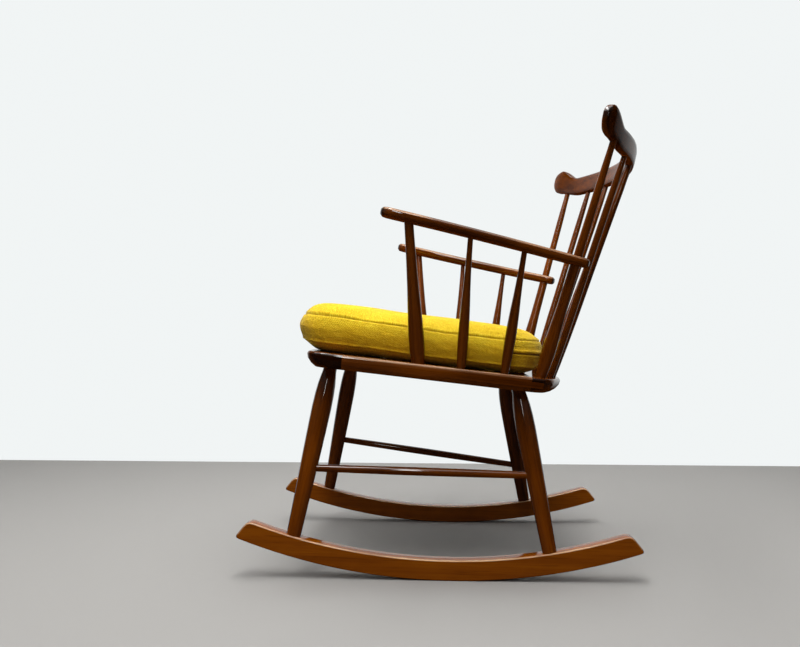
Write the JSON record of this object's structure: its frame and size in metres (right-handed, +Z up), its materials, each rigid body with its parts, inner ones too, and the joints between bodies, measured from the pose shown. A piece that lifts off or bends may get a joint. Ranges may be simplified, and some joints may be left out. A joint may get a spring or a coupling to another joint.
{
  "type": "rocking chair",
  "caption": "Spindle-back wooden rocking chair with stick arms, turned legs on curved rockers, and a loose boxed seat cushion.",
  "frame": {"origin": "on the floor under the middle of the chair's bounding box", "axes": "+Z up, -Y the way the sitter faces, +X to the sitter's left, which is the right as the chair is seen from in front and as its pieces are named; the tallest side of the box lies along +Z and the shortest along +X"},
  "size_m": [0.6131, 0.7558, 0.828],
  "materials": {
    "stained_beech": "satin",
    "stained_beech_rocker": "satin",
    "webbing": "matte",
    "yellow_wool": "matte"
  },
  "bodies": {
    "chair": {"arm_left": "stained_beech", "arm_post_left": "stained_beech", "arm_post_right": "stained_beech", "arm_right": "stained_beech", "arm_spindle_middle_left": "stained_beech", "arm_spindle_middle_right": "stained_beech", "arm_spindle_rear_left": "stained_beech", "arm_spindle_rear_right": "stained_beech", "back_spindle_1": "stained_beech", "back_spindle_2": "stained_beech", "back_spindle_3": "stained_beech", "back_spindle_4": "stained_beech", "back_spindle_5": "stained_beech", "back_spindle_6": "stained_beech", "crest_rail": "stained_beech", "leg_back_left": "stained_beech", "leg_back_right": "stained_beech", "leg_front_left": "stained_beech", "leg_front_right": "stained_beech", "rocker_left": "stained_beech_rocker", "rocker_right": "stained_beech_rocker", "seat_back_rail": "stained_beech", "seat_front_rail": "stained_beech", "seat_side_rail_left": "stained_beech", "seat_side_rail_right": "stained_beech", "seat_strap_1": "webbing", "seat_strap_2": "webbing", "seat_strap_3": "webbing", "seat_strap_4": "webbing", "seat_strap_5": "webbing", "stile_left": "stained_beech", "stile_right": "stained_beech", "stretcher_left": "stained_beech", "stretcher_right": "stained_beech"},
    "cushion": {"seat_cushion": "yellow_wool"}
  },
  "joints": [
    {"name": "cushion_lift", "type": "slide", "parent": "chair", "child": "cushion", "axis": [0, 0, 1], "range_m": [0, 0.5]}
  ]
}
